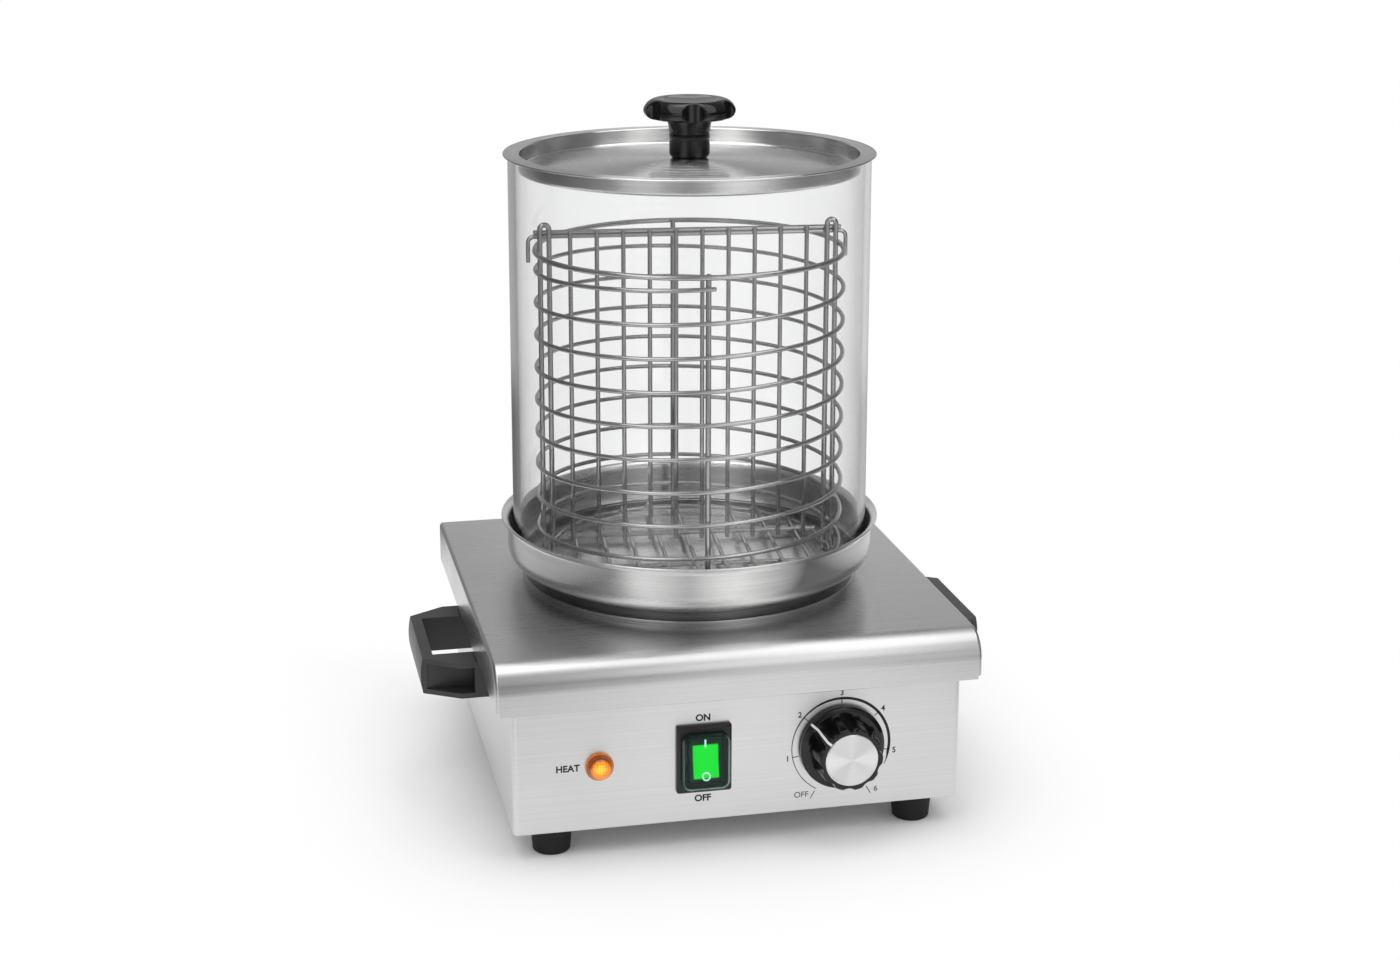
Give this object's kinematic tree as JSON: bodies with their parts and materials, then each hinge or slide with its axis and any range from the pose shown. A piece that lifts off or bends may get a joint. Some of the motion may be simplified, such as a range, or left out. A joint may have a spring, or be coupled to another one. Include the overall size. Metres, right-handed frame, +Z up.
{
  "type": "hot dog machine",
  "caption": "Counter-top sausage warmer: a steel housing with hot plate and controls carries a water pan, a lidded glass cylinder and a wire basket with spiral wall.",
  "frame": {"origin": "on the table under the middle of the machine's outer box", "axes": "+Z up, the front panel faces -Y, +X to the right seen from the front"},
  "size_m": [0.3184, 0.269, 0.3807],
  "materials": {
    "housing_steel": "brushed along its length",
    "cover_steel": "brushed along its length",
    "bright_steel": "polished",
    "basket_wire": "drawn and polished",
    "fastener_steel": "plain",
    "inner_steel": "plain",
    "plate_aluminium": "turned",
    "cap_aluminium": "turned",
    "handle_plastic": "moulded",
    "knob_plastic": "moulded",
    "switch_plastic": "moulded",
    "pointer_white": "inlaid",
    "foot_rubber": "moulded",
    "contact_brass": "plain",
    "wire_cover": "extruded",
    "pad_wool": "felted mineral wool",
    "rocker_green": "lit from inside",
    "boot_clear": "clear and soft",
    "lens_amber": "clear, lit from inside",
    "clear_glass": "clear, ground edges"
  },
  "bodies": {
    "base": {"housing_shell": "housing_steel", "back_panel": "housing_steel", "base_plate": "housing_steel", "top_cover": "cover_steel", "trim_ring": "bright_steel", "cover_studs": "fastener_steel", "cover_nuts": "fastener_steel", "base_screws": "fastener_steel", "back_screws": "fastener_steel", "handle_screws": "fastener_steel", "foot_screws": "fastener_steel", "foot_nuts": "fastener_steel", "inlet_screws": "fastener_steel", "clamp_bolt": "fastener_steel", "thermostat_screws": "fastener_steel", "earth_stud": "fastener_steel", "lamp_nut": "fastener_steel", "element_clamp": "inner_steel", "heat_shield": "inner_steel", "heating_element": "inner_steel", "hot_plate": "plate_aluminium", "handle_left": "handle_plastic", "handle_right": "handle_plastic", "switch_frame": "switch_plastic", "power_inlet": "switch_plastic", "thermostat_body": "switch_plastic", "lamp_body": "switch_plastic", "terminal_block": "switch_plastic", "thermal_cutout": "switch_plastic", "foot_front_left": "foot_rubber", "foot_front_right": "foot_rubber", "foot_back_left": "foot_rubber", "foot_back_right": "foot_rubber", "inlet_pins": "contact_brass", "switch_terminals": "contact_brass", "sensor_bulb": "contact_brass", "capillary_tube": "contact_brass", "wire_loom": "wire_cover", "insulation_pad": "pad_wool", "switch_boot": "boot_clear", "lamp_lens": "lens_amber"},
    "pan": {"water_pan": "bright_steel"},
    "glass": {"glass_cylinder": "clear_glass"},
    "lid": {"lid_pan": "bright_steel", "lid_knob": "knob_plastic", "lid_screw": "fastener_steel"},
    "basket": {"basket_frame": "basket_wire", "basket_coil": "basket_wire", "basket_floor": "basket_wire", "basket_divider": "basket_wire"},
    "dial": {"knob_body": "knob_plastic", "knob_cap": "cap_aluminium", "knob_pointer": "pointer_white", "thermostat_shaft": "fastener_steel"},
    "rocker": {"switch_rocker": "rocker_green"}
  },
  "joints": [
    {"name": "pan_lift", "type": "slide", "parent": "base", "child": "pan", "axis": [0, 0, 1], "range_m": [0, 0.04]},
    {"name": "glass_lift", "type": "slide", "parent": "pan", "child": "glass", "axis": [0, 0, 1], "range_m": [0, 0.26]},
    {"name": "lid_lift", "type": "slide", "parent": "glass", "child": "lid", "axis": [0, 0, 1], "range_m": [0, 0.12]},
    {"name": "basket_lift", "type": "slide", "parent": "pan", "child": "basket", "axis": [0, 0, 1], "range_m": [0, 0.022]},
    {"name": "knob_turn", "type": "hinge", "parent": "base", "child": "dial", "pos_m": [0.055, -0.1135, 0.05], "axis": [0, 1, 0], "range_deg": [-100, 200]},
    {"name": "switch_rock", "type": "hinge", "parent": "base", "child": "rocker", "pos_m": [-0.02, -0.1145, 0.05], "axis": [1, 0, 0], "range_deg": [0, 18]}
  ]
}
